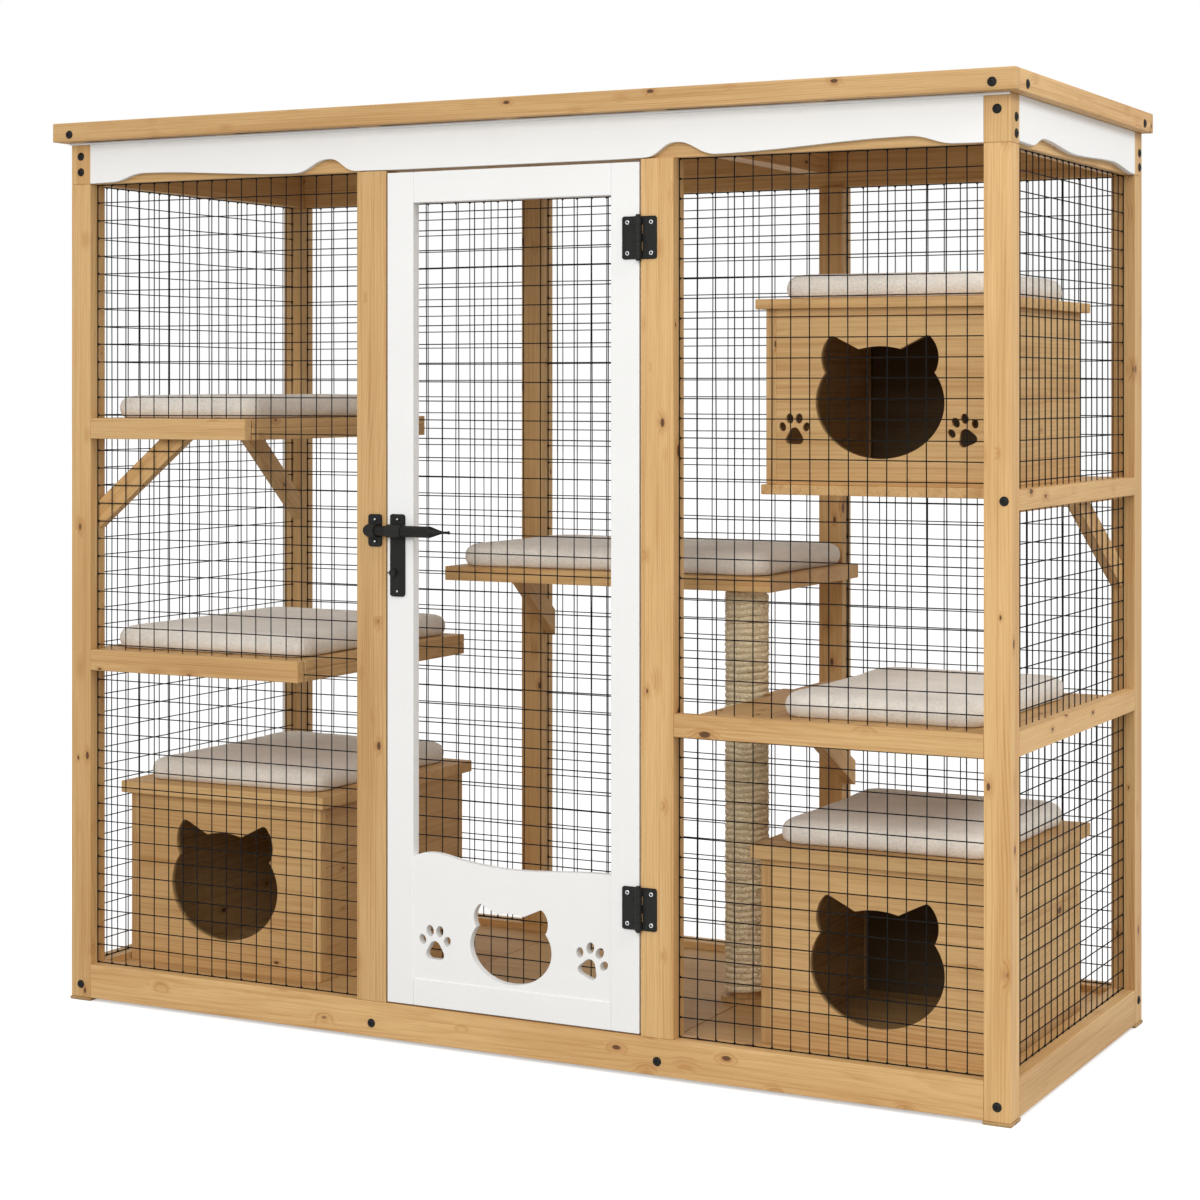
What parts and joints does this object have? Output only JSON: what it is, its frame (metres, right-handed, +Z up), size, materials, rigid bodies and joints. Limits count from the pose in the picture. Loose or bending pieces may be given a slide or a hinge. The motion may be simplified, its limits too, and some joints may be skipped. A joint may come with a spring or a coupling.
{
  "type": "cat enclosure",
  "caption": "Free-standing pine cat enclosure with a hinged door, welded mesh walls, padded shelves, cat houses and a sisal scratching post.",
  "frame": {"origin": "middle of the roof's footprint, on the ground", "axes": "+Z up, +X to the right seen from the front, the door's side faces -Y"},
  "size_m": [2.049, 0.857, 1.788],
  "materials": {
    "pine": "oiled honey pine, satin",
    "plywood": "stained plywood, satin",
    "white_paint": "white paint on wood, eggshell",
    "black_steel": "black powder coat",
    "black_mesh": "black coated welded wire",
    "screw_steel": "bright zinc",
    "plush": "short cream plush",
    "sisal": "twisted sisal rope"
  },
  "bodies": {
    "cabin": {"back_mesh": "black_mesh", "back_posts": "pine", "centre_cushion": "plush", "centre_shelf": "pine", "corner_blocks": "pine", "corner_posts": "pine", "door_posts": "pine", "floor_bearers": "pine", "floor_boards": "plywood", "foot_pads": "pine", "frame_bolts": "black_steel", "front_brace": "pine", "front_mesh": "black_mesh", "hinge_leaves_post": "black_steel", "hinge_pins": "black_steel", "latch_keeper": "black_steel", "left_house_cushion": "plush", "left_house_front": "pine", "left_house_lid": "pine", "left_house_walls": "pine", "left_lower_cushion": "plush", "left_lower_shelf": "pine", "left_upper_cushion": "plush", "left_upper_shelf": "pine", "long_base_rails": "pine", "long_roof_edges": "pine", "long_top_rails": "pine", "lower_house_cushion": "plush", "lower_house_front": "pine", "lower_house_lid": "pine", "lower_house_walls": "pine", "post_screws": "screw_steel", "right_middle_cushion": "plush", "right_middle_shelf": "pine", "right_upper_shelf": "pine", "roof_deck": "pine", "roof_joists": "pine", "roof_screws": "black_steel", "scratching_post": "plywood", "shelf_rails": "pine", "side_base_rails": "pine", "side_braces": "pine", "side_mesh": "black_mesh", "side_roof_edges": "pine", "side_top_rails": "pine", "sisal_rope": "sisal", "upper_house_cushion": "plush", "upper_house_front": "pine", "upper_house_lid": "pine", "upper_house_walls": "pine", "valances": "white_paint"},
    "door": {"door_stiles": "white_paint", "door_rails": "white_paint", "door_panel": "white_paint", "door_mesh": "black_mesh", "hinge_leaves_door": "black_steel", "latch_plate": "black_steel", "door_screws": "screw_steel"},
    "latch_bolt": {"latch_bolt": "black_steel"}
  },
  "joints": [
    {"name": "door_hinge", "type": "hinge", "parent": "cabin", "child": "door", "pos_m": [0.3005, -0.3978, 0.8685], "axis": [0, 0, 1], "range_deg": [0, 165]},
    {"name": "bolt_slide", "type": "slide", "parent": "door", "child": "latch_bolt", "axis": [1, 0, 0], "range_m": [0, 0.05]}
  ]
}
